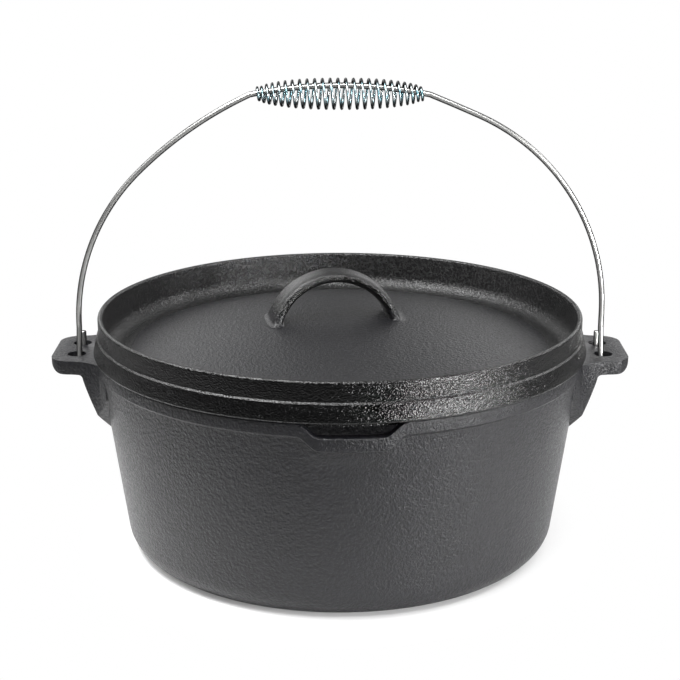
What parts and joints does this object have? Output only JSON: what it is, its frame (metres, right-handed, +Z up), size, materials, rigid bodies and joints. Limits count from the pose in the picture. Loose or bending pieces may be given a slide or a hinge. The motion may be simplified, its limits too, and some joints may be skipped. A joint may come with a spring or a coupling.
{
  "type": "camp dutch oven",
  "caption": "Flat-based cast iron camp dutch oven with a rimmed coal-tray lid, arch lid handle, side ears and a swinging wire bail with a coil-spring grip.",
  "frame": {"origin": "centre of the pot's flat base, on the ground", "axes": "+Z up along the pot's axis, +X along the line through the two ears, -Y towards the front with the vent notch"},
  "size_m": [0.357, 0.3072, 0.2922],
  "materials": {
    "pot_iron": "matte, fine-grained seasoned casting",
    "lid_iron": "seasoned casting, matte plate and satin rim and handle",
    "bail_steel": "bright drawn and plated wire",
    "spring_steel": "zinc-plated spring wire"
  },
  "bodies": {
    "pot": {"pot": "pot_iron"},
    "lid": {"lid": "lid_iron"},
    "bail": {"bail_wire": "bail_steel"},
    "grip": {"grip_spring": "spring_steel"}
  },
  "joints": [
    {"name": "lid_lift", "type": "slide", "parent": "pot", "child": "lid", "axis": [0, 0, 1], "range_m": [0, 0.03]},
    {"name": "bail_swing", "type": "hinge", "parent": "pot", "child": "bail", "pos_m": [0, 0, 0.11795], "axis": [-1, 0, 0], "range_deg": [-48, 84]},
    {"name": "grip_spin", "type": "hinge", "parent": "bail", "child": "grip", "pos_m": [0, -0.0051, 0.28251], "axis": [1, 0, 0], "continuous": true}
  ]
}
